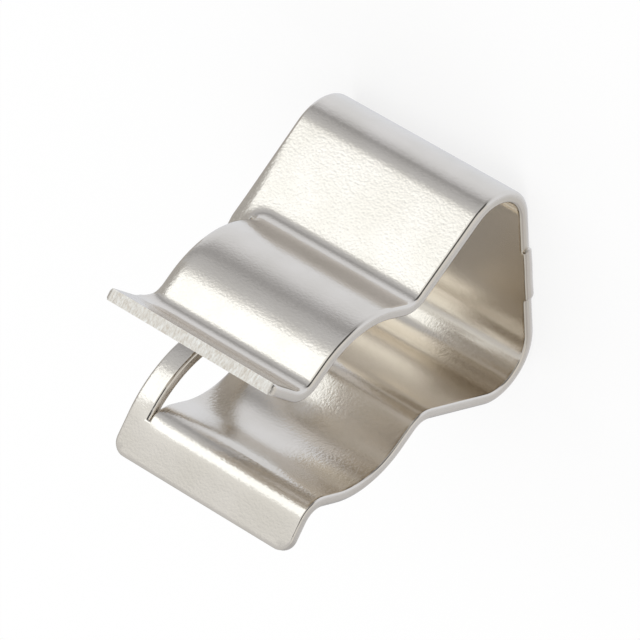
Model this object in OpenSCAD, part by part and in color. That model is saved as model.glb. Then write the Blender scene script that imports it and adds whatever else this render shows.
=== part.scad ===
/* [Sheet] */
// Thickness of the spring sheet
sheet_t = 0.4; // [0.3:0.05:0.5]
// Length of the clip along the fuse axis
clip_len = 7.4; // [6:0.1:10]

/* [Fuse seat] */
// Diameter of the seat before a fuse spreads it
seat_d = 6; // [5:0.1:7]
// Height of the fuse axis above the underside of the base
seat_z = 7.85; // [7:0.05:9]
// Angle that the seat wraps above and below the fuse axis
seat_wrap = 27.6; // [27:0.3:31]

/* [Waist and base] */
// How far each waist stands in from the seat
waist_in = 0.78; // [0.66:0.02:1]
// Inner face radius of the waist bend
waist_r = 1.1; // [0.8:0.05:1.3]
// Inward lean of the arms between base and waist
arm_lean = 27.3; // [21:0.3:33]
// Inner face radius of the two base corners
corner_r = 1.3; // [0.8:0.05:1.8]

/* [Mouth and lips] */
// How far each mouth bend stands in from the seat
mouth_in = 0.76; // [0.66:0.02:1]
// Inner face radius of the mouth bend
mouth_r = 1; // [0.8:0.05:1.3]
// Outward flare of the lips from upright
lip_flare = 46.6; // [36:0.2:54]
// Length of the square lip
square_lip = 1.3; // [0.8:0.05:2]
// How far the square lip reaches past the arm below it
lip_over = 0.35; // [0.1:0.05:0.45]
// Length of the lip with round corners
round_lip = 1.15; // [0.8:0.05:2]
// Radius of the round lip corners
lip_corner_r = 0.5; // [0.2:0.05:0.7]

/* [Fuse stop] */
// Width of the stop bridge and of the stop tab
stop_w = 0.75; // [0.5:0.05:1]
// Width of the slit that frees them from the arms
slit_w = 0.1; // [0.1:0.02:0.2]
// Straight length of the bridge before it curves
stop_lead = 0.2; // [0.1:0.05:0.5]
// How much each face of the stretched bridge sinks below the sheet
stop_sink = 0.01; // [0.01:0.01:0.03]

/* [Break-off stub] */
// Width of the stub on the edge of the base
stub_w = 2.1; // [1:0.1:4]
// How far the stub stands out from that edge
stub_out = 0.1; // [0.05:0.05:0.4]

/* [Hidden] */
$fn = 96;
metal = [0.78, 0.76, 0.72];
seat_r = seat_d / 2;
near_x = -clip_len / 2;
far_x = clip_len / 2;
bridge_x = far_x - stop_w;
arm_x = bridge_x - slit_w;
bite = 0.15;

// Straight runs that bring the arms in from the seat to the waist and to the mouth
waist_run = (waist_in - (seat_r + waist_r) * (1 - cos(seat_wrap))) / sin(seat_wrap);
mouth_run = (mouth_in - (seat_r + mouth_r) * (1 - cos(seat_wrap))) / sin(seat_wrap);

// Centres of the waist, mouth and corner bends on the +Y side
waist_y = seat_r - waist_in + waist_r;
waist_z = seat_z - (seat_r + waist_r) * sin(seat_wrap) - waist_run * cos(seat_wrap);
mouth_y = seat_r - mouth_in + mouth_r;
mouth_z = seat_z + (seat_r + mouth_r) * sin(seat_wrap) + mouth_run * cos(seat_wrap);
corner_z = sheet_t + corner_r;
arm_rise = waist_z - corner_z;
base_half = waist_y - (corner_r + waist_r - arm_rise * sin(arm_lean)) / cos(arm_lean);
arm_run = arm_rise * cos(arm_lean) - (waist_y - base_half) * sin(arm_lean);

// The bridge is one arc tangent to the arm below it and to the lip above it
stop_turn = arm_lean + lip_flare;
gap_y = mouth_y - mouth_r * cos(lip_flare) - waist_y + waist_r * cos(arm_lean);
gap_z = mouth_z + mouth_r * sin(lip_flare) - waist_z + waist_r * sin(arm_lean);
arm_reach = (gap_z * sin(lip_flare) - gap_y * cos(lip_flare)) / sin(stop_turn);
lip_reach = (gap_z * sin(arm_lean) + gap_y * cos(arm_lean)) / sin(stop_turn);
stop_reach = min(arm_reach, lip_reach) - stop_lead;
stop_r = stop_reach / tan(stop_turn / 2);

// Each step starts where the sheet's outer face is y = 0, and hands its far end on to its children
module past_run(length) {
    translate([length, 0, 0]) children();
}

module past_bend_in(r, turn) {
    translate([0, sheet_t + r, 0]) rotate(turn) translate([0, -sheet_t - r, 0]) children();
}

module past_bend_out(r, turn) {
    translate([0, sheet_t - r, 0]) rotate(-turn) translate([0, r - sheet_t, 0]) children();
}

module behind(reach) {
    translate([-reach, -reach]) square([reach, 2 * reach]);
}

module ahead(reach) {
    translate([0, -reach]) square([reach, 2 * reach]);
}

module ring(inner, outer) {
    difference() {
        circle(outer);
        circle(inner);
    }
}

module run(length, drawn = true, sink = 0) {
    if (drawn) translate([0, sink]) square([length, sheet_t - 2 * sink]);
    past_run(length) children();
}

module bend_in(r, turn, drawn = true) {
    if (drawn) difference() {
        translate([0, sheet_t + r]) ring(r, r + sheet_t);
        behind(3 * (r + sheet_t));
        past_bend_in(r, turn) ahead(3 * (r + sheet_t));
    }
    past_bend_in(r, turn) children();
}

module bend_out(r, turn, drawn = true, sink = 0) {
    if (drawn) difference() {
        translate([0, sheet_t - r]) ring(r - sheet_t + sink, r - sink);
        behind(3 * r);
        past_bend_out(r, turn) ahead(3 * r);
    }
    past_bend_out(r, turn) children();
}

module to_waist(drawn = true) {
    run(base_half, drawn)
    bend_in(corner_r, 90 + arm_lean, drawn)
    run(arm_run, drawn)
    children();
}

module to_lip(drawn = true) {
    to_waist(drawn)
    bend_out(waist_r, arm_lean + seat_wrap, drawn)
    run(waist_run, drawn)
    bend_in(seat_r, 2 * seat_wrap, drawn)
    run(mouth_run, drawn)
    bend_out(mouth_r, seat_wrap + lip_flare, drawn)
    children();
}

// Extrudes a profile drawn in Y and Z from one X to another
module along(from_x, to_x) {
    rotate([90, 0, 90]) translate([0, 0, from_x]) linear_extrude(to_x - from_x) children();
}

module quarter(r) {
    intersection() {
        circle(r);
        square(r);
    }
}

module round_outline(length, width, r) {
    square([length - r, width]);
    translate([length - r, r]) square([r, width - 2 * r]);
    translate([length - r, width - r]) quarter(r);
    translate([length - r, r]) mirror([0, 1]) quarter(r);
}

// Widens by a round root just above the bend
module wide_outline(length, width, over) {
    difference() {
        square([length, width + over]);
        translate([0, width + over]) circle(over);
    }
}

// Lays an outline of length by width on the lip, one sheet thick
module plate() {
    translate([0, sheet_t, near_x]) rotate([90, 0, 0]) linear_extrude(sheet_t) children();
}

module arms() {
    along(near_x, arm_x) {
        to_lip();
        mirror([1, 0]) to_lip();
    }
    along(arm_x, far_x) {
        to_waist();
        mirror([1, 0]) to_waist();
    }
}

module lips() {
    rotate([90, 0, 90]) {
        to_lip(false) plate() round_outline(round_lip, clip_len, lip_corner_r);
        mirror([1, 0, 0]) to_lip(false) plate() wide_outline(square_lip, arm_x - near_x, lip_over);
    }
}

module stop_bridge() {
    along(bridge_x, far_x)
    to_waist(false)
    past_run(-bite)
    run(bite + arm_reach - stop_reach, true, stop_sink)
    bend_out(stop_r, stop_turn, true, stop_sink)
    run(bite + lip_reach - stop_reach, true, stop_sink);
}

module stop_tab() {
    along(bridge_x, far_x)
    mirror([1, 0])
    to_waist(false)
    past_run(-bite)
    run(bite + arm_reach - stop_reach, true, stop_sink)
    bend_out(stop_r, arm_lean, true, stop_sink);
}

module stub() {
    translate([near_x - stub_out, -stub_w / 2, 0]) cube([stub_out + bite, stub_w, sheet_t]);
}

module fuse_clip() {
    color(metal) {
        arms();
        lips();
        stop_bridge();
        stop_tab();
        stub();
    }
}

fuse_clip();
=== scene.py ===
import math
from types import SimpleNamespace

import bmesh
import bpy
import numpy as np
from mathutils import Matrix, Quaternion, Vector


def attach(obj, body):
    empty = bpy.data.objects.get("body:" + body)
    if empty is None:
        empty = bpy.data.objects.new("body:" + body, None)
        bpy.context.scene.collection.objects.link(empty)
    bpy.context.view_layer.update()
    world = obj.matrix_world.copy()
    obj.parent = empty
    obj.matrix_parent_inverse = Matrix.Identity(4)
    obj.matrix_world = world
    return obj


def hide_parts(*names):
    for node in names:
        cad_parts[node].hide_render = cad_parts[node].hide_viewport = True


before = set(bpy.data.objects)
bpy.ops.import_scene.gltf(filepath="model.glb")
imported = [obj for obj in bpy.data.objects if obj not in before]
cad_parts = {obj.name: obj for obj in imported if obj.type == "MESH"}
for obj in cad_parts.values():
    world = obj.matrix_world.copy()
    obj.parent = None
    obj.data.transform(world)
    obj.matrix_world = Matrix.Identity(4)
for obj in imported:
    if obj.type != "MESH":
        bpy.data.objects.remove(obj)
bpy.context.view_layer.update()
mm = 0.001
print("frame loaded:", sorted(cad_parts))


def linear(hexColour):
    channels = [int(hexColour[i:i + 2], 16) / 255 for i in (1, 3, 5)]
    return tuple(c / 12.92 if c <= 0.04045 else ((c + 0.055) / 1.055) ** 2.4 for c in channels) + (1.0,)


def addNode(tree, kind, settings=None, inputs=None):
    node = tree.nodes.new(kind)
    for name, value in (settings or {}).items():
        setattr(node, name, value)
    for key, value in (inputs or {}).items():
        if isinstance(value, bpy.types.Node):
            value = value.outputs[0]
        if isinstance(value, bpy.types.NodeSocket):
            tree.links.new(value, node.inputs[key])
        else:
            node.inputs[key].default_value = value
    return node


def addObject(name, data):
    made = bpy.data.objects.new(name, data)
    bpy.context.scene.collection.objects.link(made)
    return made


# The folded sheet, sizes in mm and degrees
sheet = {
    "thickness": 0.4,
    "length": 7.4,
    "seatRadius": 3.0,  # to the face towards the fuse, as are the other bend radii
    "seatHeight": 7.85,
    "seatWrap": 27.6,
    "waistIn": 0.78,
    "waistRadius": 1.1,
    "armLean": 27.3,
    "cornerRadius": 1.3,
    "creaseTurn": 8.0,  # line that the bending tool leaves across each base corner
    "creaseFromArm": 20.6,
    "creaseRadius": 0.3,  # to the middle of the sheet
    "mouthIn": 0.76,
    "mouthRadius": 1.0,
    "lipFlare": 46.6,
    "squareLip": 1.3,
    "squareCornerRadius": 0.2,
    "squareCornerSteps": 6,
    "lipOver": 0.35,  # the square lip widens to reach past the arm below it
    "flareFrom": 0.3,  # the widening starts this far below the mouth bend
    "flareTo": 0.5,  # and is whole this far before the bend ends
    "flareSteps": 12,
    "tornDepth": 0.012,  # ragged end of the square lip, where it was broken from the strip
    "tornStep": 0.06,
    "tornSeed": 5,
    "tornMargin": 0.005,  # counted in with the ragged end
    "roundLip": 1.15,
    "lipCornerRadius": 0.5,
    "lipCornerSteps": 12,
    "stopWidth": 0.82,
    "slitWidth": 0.03,
    "seamGap": 0.5,  # outline pieces meet this far from the slit ends
    "slitLate": 0.7,  # the cut starts this far past the arm's end
    "slitShort": 0.27,  # and ends this far short of the lip
    "stopLead": 0.2,  # the shorter straight run beside the stop strip's arc
    "pullFrom": 2.35,  # metal between these places is drawn across by the pushed-in strip
    "pullTo": 3.3,
    "pullFade": 0.5,
    "stub": [(0.0, 1.05), (0.05, 1.03), (0.1, 0.9), (0.09, 0.2), (0.1, -0.5), (0.09, -1.06), (0.0, -1.08)],
    "rollRadius": 0.13,  # soft edge that the punch drags down on the outer face
    "burrRadius": 0.08,  # tighter edge on the inner face, dulled by tumbling
    "slitRadius": 0.05,
    "lanceRadius": 0.13,  # soft inner edge of the strip that was pushed in
    "edgeSteps": 4,  # faces across each soft edge
    "edgeMargin": 0.02,  # keeps the flat faces flat right up to the soft edges
    "edgeTilt": (0.1, 0.99),  # upright share of a soft edge's normal, from the cut wall to the flat face
    "sharpAngle": 40.1,
    "sagSlope": 0.17,  # the plain arm's far edge sags in, narrowly at the base and widely at the waist
    "sagNarrow": 0.14,
    "sagWide": 0.6,
    "flatRows": 0.25,
    "bendRows": 0.09,
    "wideColumns": 0.35,
    "pullColumns": 0.08,
    "rippleHeight": 0.004,  # faint waves that the press leaves in the strip
    "rippleSize": 2.2,
    "rippleSeed": 3.0,
    "pathSpare": 1.0,  # the path runs on this far past the longer lip
    "weld": 0.001,  # outline points nearer than this are joined
    "cutSnap": 0.002,  # a row cut uses points as near as this
    "slack": 0.0001,  # for telling which places are the same
}
cutMark, brokenMark = 0.5, 1.0  # values of the attribute "sheared", which is 0 on the faces of the sheet


def bendPlan(s):
    wrap, lean, flare = (math.radians(s[k]) for k in ("seatWrap", "armLean", "lipFlare"))
    half = s["thickness"] / 2
    seatR, waistR, mouthR = s["seatRadius"], s["waistRadius"], s["mouthRadius"]
    waistRun = (s["waistIn"] - (seatR + waistR) * (1 - math.cos(wrap))) / math.sin(wrap)
    mouthRun = (s["mouthIn"] - (seatR + mouthR) * (1 - math.cos(wrap))) / math.sin(wrap)
    waistY = seatR - s["waistIn"] + waistR
    waistZ = s["seatHeight"] - (seatR + waistR) * math.sin(wrap) - waistRun * math.cos(wrap)
    mouthY = seatR - s["mouthIn"] + mouthR
    mouthZ = s["seatHeight"] + (seatR + mouthR) * math.sin(wrap) + mouthRun * math.cos(wrap)
    rise = waistZ - s["thickness"] - s["cornerRadius"]
    baseHalf = waistY - (s["cornerRadius"] + waistR - rise * math.sin(lean)) / math.cos(lean)
    armRun = rise * math.cos(lean) - (waistY - baseHalf) * math.sin(lean)
    # the stop strip is one arc, tangent to the arm below it and to the lip above it
    turn = lean + flare
    gapY = mouthY - mouthR * math.cos(flare) - waistY + waistR * math.cos(lean)
    gapZ = mouthZ + mouthR * math.sin(flare) - waistZ + waistR * math.sin(lean)
    armReach = (gapZ * math.sin(flare) - gapY * math.cos(flare)) / math.sin(turn)
    lipReach = (gapZ * math.sin(lean) + gapY * math.cos(lean)) / math.sin(turn)
    reach = min(armReach, lipReach) - s["stopLead"]
    stopR = reach / math.tan(turn / 2)
    # each step is a straight length, or a middle radius and a turn: plus folds in, minus folds out
    crease, fromArm = math.radians(s["creaseTurn"]), math.radians(s["creaseFromArm"])
    cornerR = s["cornerRadius"] + half
    flatBeside = (cornerR - s["creaseRadius"]) * math.tan(crease / 2)
    toArm = [
        (baseHalf,),
        (cornerR, math.pi / 2 + lean - fromArm - crease / 2),
        (flatBeside,),
        (s["creaseRadius"], crease),
        (flatBeside,),
        (cornerR, fromArm - crease / 2),
        (armRun,),
    ]
    toLip = [
        (waistR - half, -lean - wrap),
        (waistRun,),
        (seatR + half, 2 * wrap),
        (mouthRun,),
        (mouthR - half, -wrap - flare),
    ]
    stop = [(armReach - reach,), (stopR - half, -turn), (lipReach - reach,)]
    tab = armReach - reach + (stopR - half) * lean
    return toArm, toLip, stop, tab


def walk(steps, start=(0.0, 0.0), heading=0.0, arcStep=math.radians(1.5)):
    points, ends = [np.array(start)], []
    for step in steps:
        count = 1 if len(step) == 1 else max(2, math.ceil(abs(step[1]) / arcStep))
        for _ in range(count):
            turn = 0.0 if len(step) == 1 else step[1] / count
            stride = step[0] if len(step) == 1 else 2 * step[0] * math.sin(abs(turn) / 2)
            along = heading + turn / 2
            points.append(points[-1] + stride * np.array([math.cos(along), math.sin(along)]))
            heading += turn
        ends.append(len(points) - 1)
    lengths = np.concatenate([[0], np.cumsum(np.linalg.norm(np.diff(points, axis=0), axis=1))])
    return points, heading, [float(lengths[i]) for i in ends]


def pathCurve(name, points):
    curve = bpy.data.curves.new(name, "CURVE")
    curve.dimensions = "3D"
    spline = curve.splines.new("POLY")
    spline.points.add(len(points) - 1)
    for slot, (y, z) in zip(spline.points, points):
        slot.co = (0.0, y * mm, z * mm, 1.0)
    return addObject(name, curve)


def spaced(breaks, step):
    values = [breaks[0]]
    for low, high in zip(breaks, breaks[1:]):
        count = max(1, math.ceil((high - low) / step - 1e-6))  # rounding adds no extra step
        values += [low + (high - low) * i / count for i in range(1, count + 1)]
    return values


def cornerArc(x, u, radius, fromAngle, count):
    turns = [math.radians(fromAngle + 90 * i / count) for i in range(count + 1)]
    return [(x + radius * math.cos(a), u + radius * math.sin(a)) for a in turns]


# Places on the flat blank: x across it, u along it from the middle of the base, minus on the plain arm
def blankPlan(s, marks, armEnd, tabLength):
    p = SimpleNamespace(nearX=-s["length"] / 2, farX=s["length"] / 2)
    p.stopX = p.farX - s["stopWidth"]
    p.armX = p.stopX - s["slitWidth"]
    p.lipX = p.armX + s["lipOver"]
    p.mouthStart, p.lipStart = marks[-2:]
    p.slitFrom, p.slitTo = armEnd + s["slitLate"], p.lipStart - s["slitShort"]
    p.lowSeam, p.highSeam = p.slitFrom + s["seamGap"], p.slitTo - s["seamGap"]
    p.squareEnd, p.roundEnd = p.lipStart + s["squareLip"], p.lipStart + s["roundLip"]
    p.tabEnd = armEnd + tabLength
    p.tornLimit = s["tornDepth"] + s["tornMargin"] - p.squareEnd
    p.widest = max(s[k] for k in ("rollRadius", "burrRadius", "slitRadius", "lanceRadius"))
    return p


def blankOutlines(s, p):
    lipRound, square, tornStep = s["lipCornerRadius"], s["squareCornerRadius"], s["tornStep"]
    lipSteps, squareSteps = s["lipCornerSteps"], s["squareCornerSteps"]
    stub = [(p.nearX - out, u) for out, u in s["stub"]]
    flareLow, flareHigh = p.mouthStart - s["flareFrom"], p.lipStart - s["flareTo"]
    flare = []
    for i in range(s["flareSteps"] + 1):
        left = 1 - i / s["flareSteps"]
        flare.append((p.armX + s["lipOver"] * left ** 2, (flareLow - flareHigh) * left - flareLow))
    chance = np.random.default_rng(s["tornSeed"])
    torn = []
    for x in np.arange(p.nearX + square + tornStep, p.lipX - square - tornStep / 2, tornStep):
        depth = min(1.0, abs(chance.normal()) / 2) * s["tornDepth"]
        torn.append((float(x), float(depth - p.squareEnd)))
    base = [
        (p.nearX, -p.lowSeam), (p.armX, -p.lowSeam), (p.armX, -p.slitFrom), (p.stopX, -p.slitFrom),
        (p.stopX, -p.lowSeam), (p.farX, -p.lowSeam), (p.farX, p.lowSeam), (p.stopX, p.lowSeam),
        (p.stopX, p.slitFrom), (p.armX, p.slitFrom), (p.armX, p.lowSeam), (p.nearX, p.lowSeam), *stub,
    ]
    bridgeArm = [(p.nearX, p.lowSeam), (p.armX, p.lowSeam), (p.armX, p.highSeam), (p.nearX, p.highSeam)]
    bridge = [(p.stopX, p.lowSeam), (p.farX, p.lowSeam), (p.farX, p.highSeam), (p.stopX, p.highSeam)]
    roundLip = [
        (p.nearX, p.highSeam), (p.armX, p.highSeam), (p.armX, p.slitTo), (p.stopX, p.slitTo),
        (p.stopX, p.highSeam), (p.farX, p.highSeam),
        *cornerArc(p.farX - lipRound, p.roundEnd - lipRound, lipRound, 0, lipSteps),
        *cornerArc(p.nearX + lipRound, p.roundEnd - lipRound, lipRound, 90, lipSteps),
    ]
    plainArm = [
        (p.nearX, -p.lowSeam),
        *cornerArc(p.nearX + square, square - p.squareEnd, square, 180, squareSteps),
        *torn,
        *cornerArc(p.lipX - square, square - p.squareEnd, square, 270, squareSteps),
        *flare,
        (p.armX, -p.lowSeam),
    ]
    tab = [(p.stopX, -p.lowSeam), (p.stopX, -p.tabEnd), (p.farX, -p.tabEnd), (p.farX, -p.lowSeam)]
    return [base, bridgeArm, bridge, roundLip, plainArm, tab]


def edgeRadius(s, p, x, u, height):
    inner, slack = height > s["thickness"] / 2, s["slack"]
    besideSlit = p.slitFrom - slack < abs(u) and u < p.slitTo + slack
    if besideSlit and p.armX - slack < x < p.stopX + slack:
        if x > p.stopX - slack:  # on the stop strip
            return s["lanceRadius"] if inner else s["burrRadius"]
        if u > 0 and not inner:
            return s["slitRadius"]
    return s["burrRadius"] if inner else s["rollRadius"]


def punchedBlank(s, p):
    bm = bmesh.new()
    for outline in blankOutlines(s, p):
        bm.faces.new([bm.verts.new((x * mm, u * mm, 0.0)) for x, u in outline])
    bmesh.ops.remove_doubles(bm, verts=bm.verts, dist=s["weld"] * mm)
    made = bmesh.ops.extrude_face_region(bm, geom=bm.faces[:], use_keep_orig=True)
    raised = [g for g in made["geom"] if isinstance(g, bmesh.types.BMVert)]
    bmesh.ops.translate(bm, vec=(0, 0, s["thickness"] * mm), verts=raised)
    bmesh.ops.recalc_face_normals(bm, faces=bm.faces)
    # every edge of the outline is softened, apart from the ragged end
    weight = bm.edges.layers.float.new("bevel_weight_edge")
    for e in bm.edges:
        x, u, height = (e.verts[0].co + e.verts[1].co) / (2 * mm)
        level = abs(e.verts[0].co.z - e.verts[1].co.z) < s["slack"] * mm
        onOutline = e.calc_face_angle(0.0) > math.radians(s["sharpAngle"])
        if level and onOutline and u > p.tornLimit:
            e[weight] = edgeRadius(s, p, x, u, height) / p.widest
    coarse = bpy.data.meshes.new("coarseBlank")
    bm.to_mesh(coarse)
    bm.free()
    return coarse


def softEdges(s, p, coarse):
    holder = addObject("coarseBlank", coarse)
    soft = holder.modifiers.new("softEdges", "BEVEL")
    soft.limit_method = "WEIGHT"
    soft.use_clamp_overlap = False
    soft.segments = s["edgeSteps"]
    soft.width = p.widest * mm
    graph = bpy.context.evaluated_depsgraph_get()
    bm = bmesh.new()
    bm.from_mesh(holder.evaluated_get(graph).to_mesh())
    bpy.data.objects.remove(holder)
    return bm


def flatBlank(s, p, marks):
    bm = softEdges(s, p, punchedBlank(s, p))
    support = p.widest + s["edgeMargin"]
    columns = [
        *spaced([p.nearX, p.nearX + support], support),
        *spaced([p.nearX + support, s["pullFrom"]], s["wideColumns"]),
        *spaced([s["pullFrom"], s["pullTo"]], s["pullColumns"]),
        p.armX - support, p.stopX + support, p.farX - support,
    ]
    rows = [0.0]
    for i, (low, high) in enumerate(zip([0.0] + marks, marks)):
        rows += spaced([low, high], s["bendRows"] if i % 2 else s["flatRows"])  # every second step is a bend
    cuts = [(Vector((1, 0, 0)), x) for x in columns]
    for side, end in ((1, p.roundEnd), (-1, p.squareEnd)):
        tail = spaced([p.lipStart, end - support, end], s["flatRows"])
        cuts += [(Vector((0, 1, 0)), side * u) for u in rows + tail]
    for across, place in cuts:
        bmesh.ops.bisect_plane(bm, geom=bm.verts[:] + bm.edges[:] + bm.faces[:], dist=s["cutSnap"] * mm,
                               plane_co=across * place * mm, plane_no=across)
    sheared, rolled = (bm.faces.layers.float.new(name) for name in ("sheared", "rolled"))
    wallTilt, flatTilt = s["edgeTilt"]
    for f in bm.faces:
        tilt = abs(f.normal.z)
        wall = tilt < wallTilt
        broken = wall and f.calc_center_median().y < p.tornLimit * mm
        f[sheared] = brokenMark if broken else cutMark if wall else 0.0
        f[rolled] = 1.0 if wallTilt <= tilt <= flatTilt else 0.0
        f.smooth = True
    for e in bm.edges:
        e.smooth = e.calc_face_angle(0.0) < math.radians(s["sharpAngle"])
    blank = bpy.data.meshes.new("blank")
    bm.to_mesh(blank)
    bm.free()
    return blank


def foldTree():
    tree = bpy.data.node_groups.new("foldSheet", "GeometryNodeTree")
    kinds = {"Blank": "Geometry", "Arm path": "Object", "Stop path": "Object", "Finish": "Material"}
    sizeNames = (
        "Thickness", "Arm end", "Lip start", "Stop length", "Tab end", "Slit place", "Slit from", "Slit to",
        "Pull from", "Pull to", "Pull fade", "Corner end", "Mouth start", "Far edge",
        "Sag slope", "Sag narrow", "Sag wide", "Ripple height", "Ripple size", "Ripple seed",
    )
    sockets = {}
    for name in (*kinds, *sizeNames):
        kind = "NodeSocket" + kinds.get(name, "Float")
        sockets[name] = tree.interface.new_socket(name, in_out="INPUT", socket_type=kind).identifier
    tree.interface.new_socket("Sheet", in_out="OUTPUT", socket_type="NodeSocketGeometry")
    sizes = addNode(tree, "NodeGroupInput").outputs
    place = addNode(tree, "GeometryNodeInputPosition")
    keep = addNode(tree, "GeometryNodeStoreNamedAttribute", {"data_type": "FLOAT_VECTOR", "domain": "POINT"},
                   {"Geometry": sizes["Blank"], "Name": "flatPlace", "Value": place})
    flat = addNode(tree, "ShaderNodeSeparateXYZ", None, {0: place}).outputs
    along = addNode(tree, "ShaderNodeMath", {"operation": "ABSOLUTE"}, {0: flat["Y"]})
    side = addNode(tree, "ShaderNodeMath", {"operation": "SIGN"}, {0: flat["Y"]})
    plain = addNode(tree, "ShaderNodeMath", {"operation": "LESS_THAN"}, {0: flat["Y"], 1: 0.0})

    # how far each point follows the pushed-in strip: a step across the slit, a slope where the sheet is uncut
    last = addNode(tree, "ShaderNodeMix", None, {"Factor": plain, 2: sizes["Lip start"], 3: sizes["Tab end"]})
    past = addNode(tree, "ShaderNodeMath", {"operation": "GREATER_THAN"}, {0: along, 1: sizes["Arm end"]})
    below = addNode(tree, "ShaderNodeMath", {"operation": "LESS_THAN"}, {0: along, 1: last})
    reached = addNode(tree, "ShaderNodeMath", {"operation": "MULTIPLY"}, {0: past, 1: below})
    step = addNode(tree, "ShaderNodeMath", {"operation": "GREATER_THAN"},
                   {0: flat["X"], 1: sizes["Slit place"]})
    slope = addNode(tree, "ShaderNodeMapRange", {"interpolation_type": "SMOOTHSTEP"},
                    {"Value": flat["X"], "From Min": sizes["Pull from"], "From Max": sizes["Pull to"]})
    opened = addNode(tree, "ShaderNodeMath", {"operation": "ADD"},
                     {0: sizes["Slit from"], 1: sizes["Pull fade"]})
    closing = addNode(tree, "ShaderNodeMath", {"operation": "SUBTRACT"},
                      {0: sizes["Slit to"], 1: sizes["Pull fade"]})
    opening = addNode(tree, "ShaderNodeMapRange", {"interpolation_type": "SMOOTHSTEP"},
                      {"Value": along, "From Min": sizes["Slit from"], "From Max": opened})
    closed = addNode(tree, "ShaderNodeMapRange", {"interpolation_type": "SMOOTHSTEP"},
                     {"Value": along, "From Min": closing, "From Max": sizes["Slit to"],
                      "To Min": 1.0, "To Max": 0.0})
    cut = addNode(tree, "ShaderNodeMath", {"operation": "MULTIPLY"}, {0: opening, 1: closed})
    pull = addNode(tree, "ShaderNodeMix", None, {"Factor": cut, 2: slope, 3: step})
    onStop = addNode(tree, "ShaderNodeMath", {"operation": "MULTIPLY"}, {0: pull, 1: reached})

    # height over the middle of the sheet; the far edges of the plain arm sag inwards, as a punch drags them
    depth = addNode(tree, "ShaderNodeMath", {"operation": "MULTIPLY_ADD"},
                    {0: sizes["Thickness"], 1: -0.5, 2: flat["Z"]})
    spread = addNode(tree, "ShaderNodeMapRange", None,
                     {"Value": along, "From Min": sizes["Corner end"], "From Max": sizes["Arm end"],
                      "To Min": sizes["Sag narrow"], "To Max": sizes["Sag wide"]})
    spent = addNode(tree, "ShaderNodeMapRange", {"interpolation_type": "SMOOTHSTEP"},
                    {"Value": along, "From Min": sizes["Mouth start"], "From Max": sizes["Lip start"],
                     "To Min": 1.0, "To Max": 0.0})
    drag = addNode(tree, "ShaderNodeMath", {"operation": "MULTIPLY"}, {0: opening, 1: spent})
    for edge, reach, share in (("Far edge", spread, plain), ("Slit place", sizes["Sag wide"], drag)):
        begin = addNode(tree, "ShaderNodeMath", {"operation": "SUBTRACT"}, {0: sizes[edge], 1: reach})
        near = addNode(tree, "ShaderNodeMapRange", None,
                       {"Value": flat["X"], "From Min": begin, "From Max": sizes[edge]})
        square = addNode(tree, "ShaderNodeMath", {"operation": "MULTIPLY"}, {0: near, 1: near})
        scaled = addNode(tree, "ShaderNodeMath", {"operation": "MULTIPLY"}, {0: square, 1: reach})
        steep = addNode(tree, "ShaderNodeMath", {"operation": "MULTIPLY"}, {0: scaled, 1: sizes["Sag slope"]})
        shared = addNode(tree, "ShaderNodeMath", {"operation": "MULTIPLY"}, {0: plain, 1: share})
        depth = addNode(tree, "ShaderNodeMath", {"operation": "MULTIPLY_ADD"},
                        {0: steep, 1: shared, 2: depth})

    # the place of each point on the arm's path or the stop's path, lifted square to it
    stretch = addNode(tree, "ShaderNodeMapRange", None,
                      {"Value": along, "From Min": sizes["Arm end"], "From Max": sizes["Lip start"],
                       "To Min": 0.0, "To Max": sizes["Stop length"]})
    ways = []
    for pathName, length in (("Arm path", along), ("Stop path", stretch)):
        info = addNode(tree, "GeometryNodeObjectInfo", None, {"Object": sizes[pathName]})
        ways.append(addNode(tree, "GeometryNodeSampleCurve", {"mode": "LENGTH", "use_all_curves": True},
                            {"Curves": info.outputs["Geometry"], "Length": length}).outputs)
    middle, heading = (addNode(tree, "ShaderNodeMix", {"data_type": "VECTOR"},
                               {"Factor": onStop, 4: ways[0][output], 5: ways[1][output]}).outputs[1]
                       for output in ("Position", "Tangent"))
    lift = addNode(tree, "ShaderNodeVectorMath", {"operation": "CROSS_PRODUCT"},
                   {0: (1.0, 0.0, 0.0), 1: heading})
    unit = addNode(tree, "ShaderNodeVectorMath", {"operation": "NORMALIZE"}, {0: lift})
    lifted = addNode(tree, "ShaderNodeVectorMath", {"operation": "MULTIPLY_ADD"},
                     {0: unit, 1: depth, 2: middle})
    folded = addNode(tree, "ShaderNodeSeparateXYZ", None, {0: lifted}).outputs
    sided = addNode(tree, "ShaderNodeMath", {"operation": "MULTIPLY"}, {0: folded["Y"], 1: side})
    placed = addNode(tree, "ShaderNodeCombineXYZ", None, {"X": flat["X"], "Y": sided, "Z": folded["Z"]})
    fold = addNode(tree, "GeometryNodeSetPosition", None, {"Geometry": keep, "Position": placed})

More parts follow.
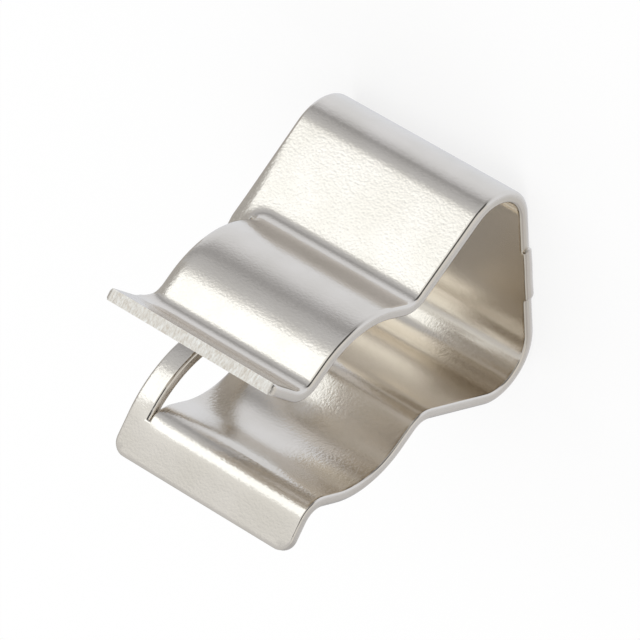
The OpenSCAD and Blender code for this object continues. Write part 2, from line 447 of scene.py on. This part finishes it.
    pace = addNode(tree, "ShaderNodeMath", {"operation": "DIVIDE"}, {0: 1.0, 1: sizes["Ripple size"]})
    noise = addNode(tree, "ShaderNodeTexNoise", {"noise_dimensions": "4D"},
                    {"W": sizes["Ripple seed"], "Scale": pace, "Detail": 1.0}).outputs["Fac"]
    centred = addNode(tree, "ShaderNodeMath", {"operation": "SUBTRACT"}, {0: noise, 1: 0.5})
    wave = addNode(tree, "ShaderNodeMath", {"operation": "MULTIPLY"}, {0: centred, 1: sizes["Ripple height"]})
    outward = addNode(tree, "GeometryNodeInputNormal")
    push = addNode(tree, "ShaderNodeVectorMath", {"operation": "SCALE"}, {0: outward, "Scale": wave})
    ripple = addNode(tree, "GeometryNodeSetPosition", None, {"Geometry": fold, "Offset": push})
    whole = addNode(tree, "GeometryNodeRealizeInstances", None, {0: ripple})
    finished = addNode(tree, "GeometryNodeSetMaterial", None,
                       {"Geometry": whole, "Material": sizes["Finish"]})
    addNode(tree, "NodeGroupOutput", None, {"Sheet": finished})
    return tree, sockets


# Nickel over brass strip, barrel plated after stamping: a warm silver grey, satin rather than mirror-like,
# peened all over by the tumbling parts, with faint drawing lines along the strip and coarse grain at the
# broken end
nickel = {
    "tint": "#e5ded4",
    "shade": "#dfd8cd",
    "paintedShadeTint": "#dcd3c5",  # painted shade deep in the fold: a darker, warmer tone on the inner face near the base
    "paintedShadeWithin": (2.0, 6.0),  # mm along the sheet from the middle of the base
    "shelter": 0.45,  # share of the peening that reaches deep into the fold
    "shelterWithin": (8.0, 12.0),
    "grainTints": ("#d8cdbe", "#fffdf7"),
    "cloudSize": 1.6,  # mm
    "cloudDetail": 3.0,
    "cloudSpread": (0.35, 0.65),  # part of the noise that makes the whole change of tone
    "peenSize": 0.085,  # real dents are about 0.03 mm, drawn coarser to show
    "peenDetail": 2.0,
    "peenSpread": (0.3, 0.7),
    "lineSize": (0.06, 0.7),  # width and length of the drawing lines
    "lineDetail": 2.0,
    "grainSize": (0.06, 0.16),  # across and through the sheet, torn open at the broken end
    "grainDetail": 4.0,
    "grainFineness": 0.7,
    "grainSpread": (0.3, 0.7),
    "peenHeight": 0.0048,
    "lineHeight": 0.0006,
    "grainHeight": 0.012,
    "roughness": (0.15, 0.22),
    "wallRoughness": 0.36,
    "grainRoughness": 0.45,
    "rolledRoughness": 0.1,  # the punch and the tumbling rub the edges smooth
    "rolledPeen": 0.2,
}


def nickelPlate(n, thickness):
    made = bpy.data.materials.new("nickelPlatedBrass")
    made.use_nodes = True
    tree = made.node_tree
    shader = tree.nodes["Principled BSDF"]
    shader.inputs["Metallic"].default_value = 1.0
    flat = addNode(tree, "ShaderNodeAttribute", {"attribute_name": "flatPlace"}).outputs["Vector"]
    sheared = addNode(tree, "ShaderNodeAttribute", {"attribute_name": "sheared"}).outputs["Fac"]
    rolled = addNode(tree, "ShaderNodeAttribute", {"attribute_name": "rolled"}).outputs["Fac"]
    place = addNode(tree, "ShaderNodeTexCoord").outputs["Object"]
    wall = addNode(tree, "ShaderNodeMapRange", None, {"Value": sheared, "From Max": cutMark})
    broken = addNode(tree, "ShaderNodeMapRange", None,
                     {"Value": sheared, "From Min": cutMark, "From Max": brokenMark})
    spot = addNode(tree, "ShaderNodeSeparateXYZ", None, {0: flat}).outputs
    inner = addNode(tree, "ShaderNodeMath", {"operation": "GREATER_THAN"},
                    {0: spot["Z"], 1: thickness / 2 * mm})
    away = addNode(tree, "ShaderNodeMath", {"operation": "ABSOLUTE"}, {0: spot["Y"]})

    clouds, peen = (addNode(tree, "ShaderNodeTexNoise", None,
                            {"Vector": place, "Scale": 1 / (n[kind + "Size"] * mm),
                             "Detail": n[kind + "Detail"]}).outputs["Fac"]
                    for kind in ("cloud", "peen"))
    fine, deep = (1 / (size * mm) for size in n["grainSize"])
    tornOpen = addNode(tree, "ShaderNodeVectorMath", {"operation": "MULTIPLY"},
                       {0: flat, 1: (fine, fine, deep)})
    grain = addNode(tree, "ShaderNodeTexNoise", None,
                    {"Vector": tornOpen, "Scale": 1.0, "Detail": n["grainDetail"],
                     "Roughness": n["grainFineness"]}).outputs["Fac"]
    width, length = (1 / (size * mm) for size in n["lineSize"])
    drawn = addNode(tree, "ShaderNodeVectorMath", {"operation": "MULTIPLY"},
                    {0: flat, 1: (width, length, width)})
    lines = addNode(tree, "ShaderNodeTexNoise", None,
                    {"Vector": drawn, "Scale": 1.0, "Detail": n["lineDetail"]}).outputs["Fac"]

    low, high = n["cloudSpread"]
    cloud = addNode(tree, "ShaderNodeMapRange", None,
                    {"Value": clouds, "From Min": low, "From Max": high})
    plated = addNode(tree, "ShaderNodeMix", {"data_type": "RGBA"},
                     {"Factor": cloud, 6: linear(n["shade"]), 7: linear(n["tint"])}).outputs[2]
    # painted shade: the inner face takes the darker, warmer tone near the middle of the base, deep in the
    # fold, fading out further along the sheet
    low, high = (size * mm for size in n["paintedShadeWithin"])
    paintedShadeFade = addNode(tree, "ShaderNodeMapRange", None,
                   {"Value": away, "From Min": low, "From Max": high, "To Min": 1.0, "To Max": 0.0})
    folded = addNode(tree, "ShaderNodeMath", {"operation": "MULTIPLY"}, {0: paintedShadeFade, 1: inner})
    paintedShadePlate = addNode(tree, "ShaderNodeMix", {"data_type": "RGBA"},
                     {"Factor": folded, 6: plated, 7: linear(n["paintedShadeTint"])}).outputs[2]
    low, high = n["grainSpread"]
    fleck = addNode(tree, "ShaderNodeMapRange", None, {"Value": grain, "From Min": low, "From Max": high})
    dull, bright = (linear(tint) for tint in n["grainTints"])
    flecked = addNode(tree, "ShaderNodeMix", {"data_type": "RGBA"},
                      {"Factor": fleck, 6: dull, 7: bright}).outputs[2]
    colour = addNode(tree, "ShaderNodeMix", {"data_type": "RGBA"}, {"Factor": broken, 6: paintedShadePlate, 7: flecked})
    tree.links.new(colour.outputs[2], shader.inputs["Base Color"])

    low, high = n["peenSpread"]
    smooth, rough = n["roughness"]
    satin = addNode(tree, "ShaderNodeMapRange", None,
                    {"Value": peen, "From Min": low, "From Max": high, "To Min": smooth, "To Max": rough})
    rubbed = addNode(tree, "ShaderNodeMix", None, {"Factor": rolled, 2: satin, 3: n["rolledRoughness"]})
    cutSide = addNode(tree, "ShaderNodeMix", None, {"Factor": wall, 2: rubbed, 3: n["wallRoughness"]})
    coarse = addNode(tree, "ShaderNodeMix", None, {"Factor": broken, 2: cutSide, 3: n["grainRoughness"]})
    tree.links.new(coarse.outputs[0], shader.inputs["Roughness"])

    low, high = (size * mm for size in n["shelterWithin"])
    full = n["peenHeight"] * mm
    reached = addNode(tree, "ShaderNodeMapRange", None,
                      {"Value": away, "From Min": low, "From Max": high,
                       "To Min": full * n["shelter"], "To Max": full})
    struck = addNode(tree, "ShaderNodeMix", None, {"Factor": inner, 2: full, 3: reached})
    worn = addNode(tree, "ShaderNodeMix", None, {"Factor": rolled, 2: struck, 3: full * n["rolledPeen"]})
    peenLift = addNode(tree, "ShaderNodeMath", {"operation": "MULTIPLY"}, {0: peen, 1: worn})
    lineLift = addNode(tree, "ShaderNodeMath", {"operation": "MULTIPLY_ADD"},
                       {0: lines, 1: n["lineHeight"] * mm, 2: peenLift})
    grainLift = addNode(tree, "ShaderNodeMath", {"operation": "MULTIPLY"},
                        {0: grain, 1: n["grainHeight"] * mm})
    height = addNode(tree, "ShaderNodeMix", None, {"Factor": broken, 2: lineLift, 3: grainLift})
    dents = addNode(tree, "ShaderNodeBump", None, {"Height": height, "Distance": 1.0, "Strength": 1.0})
    tree.links.new(dents.outputs[0], shader.inputs["Normal"])
    return made


def foldedSheet(s):
    toArm, toLip, stop, tab = bendPlan(s)
    startPoint = (0.0, s["thickness"] / 2)
    armPoints, heading, armMarks = walk(toArm, startPoint)
    cornerEnd, armEnd = armMarks[-2:]
    _, _, marks = walk(toArm + toLip, startPoint)
    lipRun = [(max(s["squareLip"], s["roundLip"]) + s["pathSpare"],)]
    longPoints, _, _ = walk(toArm + toLip + lipRun, startPoint)
    stopPoints, _, stopMarks = walk(stop, tuple(armPoints[-1]), heading)
    stretch = (marks[-1] - armEnd) / stopMarks[-1]  # the strip is drawn out as it is pushed in
    p = blankPlan(s, marks, armEnd, tab * stretch)
    made = addObject("foldedBlank", flatBlank(s, p, marks))
    armPath, stopPath = pathCurve("armPath", longPoints), pathCurve("stopPath", stopPoints)
    tree, sockets = foldTree()
    fold = made.modifiers.new("fold", "NODES")
    fold.node_group = tree
    for name, value in {
        "Arm path": armPath,
        "Stop path": stopPath,
        "Thickness": s["thickness"] * mm,
        "Arm end": armEnd * mm,
        "Lip start": p.lipStart * mm,
        "Stop length": stopMarks[-1] * mm,
        "Tab end": (p.tabEnd + s["pullFade"]) * mm,
        "Slit place": (p.stopX - s["slitWidth"] / 2) * mm,
        "Slit from": p.slitFrom * mm,
        "Slit to": p.slitTo * mm,
        "Pull from": s["pullFrom"] * mm,
        "Pull to": s["pullTo"] * mm,
        "Pull fade": s["pullFade"] * mm,
        "Corner end": cornerEnd * mm,
        "Mouth start": p.mouthStart * mm,
        "Far edge": p.farX * mm,
        "Sag slope": s["sagSlope"],
        "Sag narrow": s["sagNarrow"] * mm,
        "Sag wide": s["sagWide"] * mm,
        "Ripple height": s["rippleHeight"] * mm,
        "Ripple size": s["rippleSize"] * mm,
        "Ripple seed": s["rippleSeed"],
        "Finish": nickelPlate(nickel, s["thickness"]),
    }.items():
        fold[sockets[name]] = value
    graph = bpy.context.evaluated_depsgraph_get()
    mesh = bpy.data.meshes.new_from_object(made.evaluated_get(graph))
    for used in (made, armPath, stopPath):
        bpy.data.objects.remove(used)
    piece = addObject("clipSheet", mesh)
    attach(piece, "root")
    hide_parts("fuse_clip")
    return piece


clipSheet = foldedSheet(sheet)
print("sheet folded:", len(clipSheet.data.polygons), "faces")


# Camera at the photograph's angle, in mm and degrees; the clip lies rolled over in the picture
camera = {
    "azimuth": -36.71,
    "elevation": 31.08,
    "roll": -128.67,
    "distance": 220.0,
    "aim": (-1.03, -1.36, 6.86),
    "lens": 401.0,
    "sensor": 36.0,
    "clip": (10.0, 10000.0),
}


def makeCamera(c):
    a, e = math.radians(c["azimuth"]), math.radians(c["elevation"])
    back = Vector((math.sin(a) * math.cos(e), -math.cos(a) * math.cos(e), math.sin(e)))
    lens = bpy.data.cameras.new("camera")
    lens.sensor_width = c["sensor"]
    lens.lens = c["lens"]
    lens.clip_start, lens.clip_end = (distance * mm for distance in c["clip"])
    made = addObject("camera", lens)
    made.rotation_mode = "QUATERNION"
    level = (-back).to_track_quat("-Z", "Y")
    made.rotation_quaternion = Quaternion(back, math.radians(c["roll"])) @ level
    made.location = (Vector(c["aim"]) + back * c["distance"]) * mm
    bpy.context.scene.camera = made


makeCamera(camera)
print("camera placed")


# Studio: a long light tent round the fuse axis, in mm, with angles in degrees from -Y up towards +Z
studio = {
    "axisHeight": 6.0,
    "reach": 100.0,  # distance of the tent from the fuse axis
    "halfLength": 170.0,
    "tent": [  # angle and tone, fading from one to the next, matched to the photograph's reflections
        (-180, "#bebfc3"), (-156, "#bfc1c6"), (-146, "#dbdde2"), (-96, "#eef4ff"), (-56, "#edf2fc"),
        (-42, "#e2e6ef"), (-26, "#a8aaaf"), (-20, "#a3a5aa"), (-12, "#c2c5cb"), (3, "#cdd0d6"),
        (11, "#fafdff"), (60, "#f5f8fa"), (67, "#d9dbdf"), (144, "#d3d5d8"), (180, "#bebfc3"),
    ],
    "tentStep": 6.0,
    "keyAngles": (9.5, 47.0),
    "keyEnds": (24.0, 96.0),
    "keyInside": 4.0,  # hung this far inside the tent
    "keyLevel": 0.62,  # adds to the tent behind it
    "keyTint": "#ecf6ff",
    "cards": {  # angles, ends and tone of the plain cards hung just inside the tent
        "cameraCard": ((-30.0, 62.0), (-130.0, -28.0), "#565656"),
        "farCard": ((-3.0, 62.0), (98.0, 170.0), "#b4b4b4"),
        "lowCard": ((-176.0, -134.0), (20.0, 110.0), "#babbbe"),
    },
    "cardStep": 8.0,
    "cardInside": 2.0,
    "endTone": "#ffffff",
    "nearEndLevel": 0.8,
    "farEndLevel": 0.5,
    "endSides": 32,
    "endBeyond": 2.0,  # the end discs stand this far past the tent
    "floorTone": "#ffffff",
    "floorRoughness": 0.9,
    "floorGlow": 0.75,  # share of the floor's white that keeps no shadow
    "floorSize": 2000.0,
    "roomTone": "#ffffff",
}


def glowCard(name, bm, colour=None, strength=1.0):
    mesh = bpy.data.meshes.new(name)
    bm.to_mesh(mesh)
    bm.free()
    made = bpy.data.materials.new(name)
    made.use_nodes = True
    tree = made.node_tree
    tree.nodes.clear()
    if colour is None:
        colour = addNode(tree, "ShaderNodeAttribute", {"attribute_name": "tone"}).outputs["Color"]
    glow = addNode(tree, "ShaderNodeEmission", None, {"Color": colour, "Strength": strength})
    addNode(tree, "ShaderNodeOutputMaterial", None, {"Surface": glow})
    mesh.materials.append(made)
    card = addObject(name, mesh)
    card.visible_camera = card.visible_diffuse = card.visible_shadow = False


def arcPoints(bm, s, angles, ends, reach):
    rows = []
    for angle in angles:
        turn = math.radians(angle)
        y, z = -math.cos(turn) * reach, math.sin(turn) * reach + s["axisHeight"]
        rows.append([bm.verts.new((x * mm, y * mm, z * mm)) for x in ends])
    for a, b in zip(rows, rows[1:]):
        bm.faces.new((a[0], a[1], b[1], b[0]))
    return rows


def lightTent(s):
    bm = bmesh.new()
    tone = bm.verts.layers.float_color.new("tone")
    stops = [angle for angle, _ in s["tent"]]
    shades = np.array([linear(hexColour) for _, hexColour in s["tent"]])
    angles = spaced(stops, s["tentStep"])
    ends = (-s["halfLength"], s["halfLength"])
    for angle, row in zip(angles, arcPoints(bm, s, angles, ends, s["reach"])):
        for v in row:
            v[tone] = [float(np.interp(angle, stops, shades[:, i])) for i in range(4)]
    glowCard("lightTent", bm)


def hangCards(s):
    for name, (angles, ends, tone) in s["cards"].items():
        bm = bmesh.new()
        arcPoints(bm, s, spaced(angles, s["cardStep"]), ends, s["reach"] - s["cardInside"])
        glowCard(name, bm, linear(tone))
    endPlace = s["halfLength"] + s["endBeyond"]
    for name, x, level in (("nearEnd", -endPlace, s["nearEndLevel"]), ("farEnd", endPlace, s["farEndLevel"])):
        bm = bmesh.new()
        disc = bmesh.ops.create_circle(bm, cap_ends=True, segments=s["endSides"], radius=s["reach"] * mm)
        for v in disc["verts"]:
            v.co = (x * mm, v.co.x, v.co.y + s["axisHeight"] * mm)
        glowCard(name, bm, linear(s["endTone"]), level)


def keyLight(s):
    middle = math.radians(sum(s["keyAngles"]) / 2)
    half = math.radians(s["keyAngles"][1] - s["keyAngles"][0]) / 2
    out = Vector((0.0, -math.cos(middle), math.sin(middle)))
    lamp = bpy.data.lights.new("keyLight", "AREA")
    lamp.shape = "RECTANGLE"
    lamp.size = (s["keyEnds"][1] - s["keyEnds"][0]) * mm
    lamp.size_y = 2 * s["reach"] * math.tan(half) * mm
    lamp.energy = s["keyLevel"] * math.pi * lamp.size * lamp.size_y
    lamp.color = linear(s["keyTint"])[:3]
    made = addObject("keyLight", lamp)
    onAxis = Vector((sum(s["keyEnds"]) / 2, 0.0, s["axisHeight"]))
    made.location = (onAxis + out * (s["reach"] - s["keyInside"])) * mm
    made.rotation_mode = "QUATERNION"
    made.rotation_quaternion = out.to_track_quat("Z", "Y")
    made.visible_diffuse = False  # the paper floor takes the even light of the room alone


# White backdrop paper, matt and without gloss: an even white that keeps a soft shadow
def makeFloor(s):
    mesh = bpy.data.meshes.new("floor")
    h = s["floorSize"] / 2 * mm
    mesh.from_pydata([(-h, -h, 0), (h, -h, 0), (h, h, 0), (-h, h, 0)], [], [(0, 1, 2, 3)])
    floor = addObject("floor", mesh)
    made = bpy.data.materials.new("whitePaper")
    made.use_nodes = True
    tree = made.node_tree
    paper = tree.nodes["Principled BSDF"]
    paper.inputs["Base Color"].default_value = linear(s["floorTone"])
    paper.inputs["Roughness"].default_value = s["floorRoughness"]
    paper.inputs["Specular IOR Level"].default_value = 0.0
    path = addNode(tree, "ShaderNodeLightPath").outputs
    seen = path["Is Camera Ray"]
    for kind in ("Is Glossy Ray", "Is Transmission Ray"):
        seen = addNode(tree, "ShaderNodeMath", {"operation": "MAXIMUM"}, {0: seen, 1: path[kind]})
    share = addNode(tree, "ShaderNodeMath", {"operation": "MULTIPLY"}, {0: seen, 1: s["floorGlow"]})
    white = addNode(tree, "ShaderNodeEmission", None, {"Color": linear(s["floorTone"])})
    mixed = addNode(tree, "ShaderNodeMixShader", None, {0: share, 1: paper, 2: white})
    tree.links.new(mixed.outputs[0], tree.nodes["Material Output"].inputs["Surface"])
    mesh.materials.append(made)
    floor.visible_glossy = False  # the metal mirrors the tent below the floor, and not the floor


def makeWorld(s):
    world = bpy.data.worlds.new("studio")
    bpy.context.scene.world = world
    world.use_nodes = True
    world.node_tree.nodes["Background"].inputs["Color"].default_value = linear(s["roomTone"])


lightTent(studio)
hangCards(studio)
keyLight(studio)
makeFloor(studio)
makeWorld(studio)
bpy.context.scene.view_settings.view_transform = "Standard"
print("studio lit")
